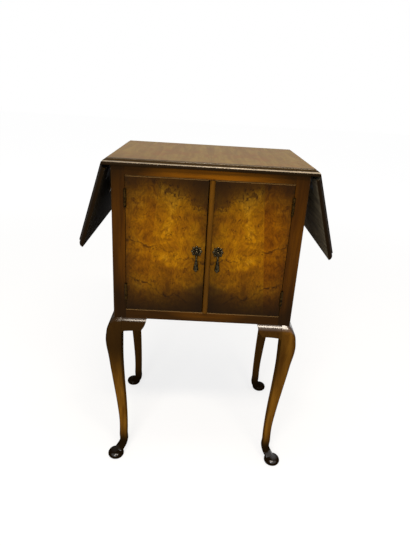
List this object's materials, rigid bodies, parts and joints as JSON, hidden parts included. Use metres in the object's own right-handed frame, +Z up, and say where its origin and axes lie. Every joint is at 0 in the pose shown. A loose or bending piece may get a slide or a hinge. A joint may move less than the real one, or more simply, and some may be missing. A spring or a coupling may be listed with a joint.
{
  "type": "cellarette",
  "caption": "Small walnut drinks cabinet with burr doors, drop pulls, cabriole legs with knee blocks, a moulded top and drop leaves on folding stays.",
  "frame": {"origin": "on the floor below the middle of the carcase", "axes": "+X to the right seen from the front, +Y to the back, +Z up"},
  "size_m": [0.5444, 0.354, 0.762],
  "materials": {
    "frame_walnut": "French-polished straight-grained walnut, medium dark",
    "leg_walnut": "French-polished walnut, darker towards the feet",
    "top_walnut": "polished figured walnut veneer with a moulded walnut edge",
    "burr_walnut": "polished burr walnut veneer, shaded darker at the edges",
    "bead_walnut": "polished lighter walnut bead",
    "inside_wood": "plain oiled hardwood",
    "back_wood": "unpolished stained board",
    "brass": "aged brass",
    "bronze": "dark antique brass",
    "hinge_steel": "dull steel",
    "catch_plastic": "brown moulded plastic"
  },
  "bodies": {
    "carcase": {"side_board_left": "frame_walnut", "side_board_right": "frame_walnut", "floor_board": "inside_wood", "back_board": "back_wood", "top_rail": "frame_walnut", "bottom_rail": "frame_walnut", "rear_rail": "inside_wood", "door_stop": "inside_wood", "stile_left": "frame_walnut", "stile_right": "frame_walnut", "shelf": "inside_wood", "shelf_bearers": "inside_wood", "tabletop": "top_walnut", "door_hinge_stile_flaps_left": "brass", "door_hinge_stile_flaps_right": "brass", "door_hinge_pins_left": "brass", "door_hinge_pins_right": "brass", "leaf_hinge_top_flaps_left": "hinge_steel", "leaf_hinge_top_flaps_right": "hinge_steel", "leaf_hinge_pins_left": "hinge_steel", "leaf_hinge_pins_right": "hinge_steel", "stay_side_lug_left": "brass", "stay_side_lug_right": "brass", "leg_front_left": "leg_walnut", "leg_front_right": "leg_walnut", "leg_rear_left": "leg_walnut", "leg_rear_right": "leg_walnut", "knee_blocks_front": "leg_walnut", "knee_blocks_left": "leg_walnut", "knee_blocks_right": "leg_walnut", "catch_blocks": "catch_plastic"},
    "leaf_left": {"leaf_left": "top_walnut", "leaf_hinge_leaf_flaps_left": "hinge_steel", "stay_leaf_lug_left": "brass"},
    "lower_link_left": {"stay_lower_link_left": "brass"},
    "upper_link_left": {"stay_upper_link_left": "brass"},
    "door_left": {"door_left": "burr_walnut", "door_hinge_door_flaps_left": "brass", "pull_rosette_left": "bronze", "pull_post_left": "bronze", "pull_nut_left": "hinge_steel", "catch_plate_left": "hinge_steel"},
    "pull_left": {"pull_drop_left": "bronze"},
    "leaf_right": {"leaf_right": "top_walnut", "leaf_hinge_leaf_flaps_right": "hinge_steel", "stay_leaf_lug_right": "brass"},
    "lower_link_right": {"stay_lower_link_right": "brass"},
    "upper_link_right": {"stay_upper_link_right": "brass"},
    "door_right": {"door_right": "burr_walnut", "door_hinge_door_flaps_right": "brass", "pull_rosette_right": "bronze", "pull_post_right": "bronze", "pull_nut_right": "hinge_steel", "catch_plate_right": "hinge_steel", "astragal": "bead_walnut"},
    "pull_right": {"pull_drop_right": "bronze"}
  },
  "joints": [
    {"name": "leaf_left_hinge", "type": "hinge", "parent": "carcase", "child": "leaf_left", "pos_m": [-0.21, 0, 0.7502], "axis": [0, 1, 0], "range_deg": [0, 73]},
    {"name": "stay_left_lower", "type": "hinge", "parent": "carcase", "child": "lower_link_left", "pos_m": [-0.2095, 0, 0.6702], "axis": [0, 1, 0], "range_deg": [0, 99]},
    {"name": "stay_left_upper", "type": "hinge", "parent": "leaf_left", "child": "upper_link_left", "pos_m": [-0.22513, 0, 0.67164], "axis": [0, 1, 0], "range_deg": [-99, 0]},
    {"name": "door_left_hinge", "type": "hinge", "parent": "carcase", "child": "door_left", "pos_m": [-0.1735, -0.157, 0.5781], "axis": [0, 0, -1], "range_deg": [0, 110]},
    {"name": "pull_left_pivot", "type": "hinge", "parent": "door_left", "child": "pull_left", "pos_m": [-0.021, -0.1632, 0.575], "axis": [-1, 0, 0], "range_deg": [0, 85]},
    {"name": "leaf_right_hinge", "type": "hinge", "parent": "carcase", "child": "leaf_right", "pos_m": [0.21, 0, 0.7502], "axis": [0, -1, 0], "range_deg": [0, 73]},
    {"name": "stay_right_lower", "type": "hinge", "parent": "carcase", "child": "lower_link_right", "pos_m": [0.2095, 0, 0.6702], "axis": [0, -1, 0], "range_deg": [0, 99]},
    {"name": "stay_right_upper", "type": "hinge", "parent": "leaf_right", "child": "upper_link_right", "pos_m": [0.22513, 0, 0.67164], "axis": [0, -1, 0], "range_deg": [-99, 0]},
    {"name": "door_right_hinge", "type": "hinge", "parent": "carcase", "child": "door_right", "pos_m": [0.1735, -0.157, 0.5781], "axis": [0, 0, 1], "range_deg": [0, 110]},
    {"name": "pull_right_pivot", "type": "hinge", "parent": "door_right", "child": "pull_right", "pos_m": [0.025, -0.1632, 0.575], "axis": [-1, 0, 0], "range_deg": [0, 85]}
  ],
  "couplings": [
    {"joint": "stay_left_lower", "follows": "leaf_left_hinge", "ratio": 1.3547},
    {"joint": "stay_left_upper", "follows": "leaf_left_hinge", "ratio": -1.3547},
    {"joint": "stay_right_lower", "follows": "leaf_right_hinge", "ratio": 1.3547},
    {"joint": "stay_right_upper", "follows": "leaf_right_hinge", "ratio": -1.3547}
  ]
}
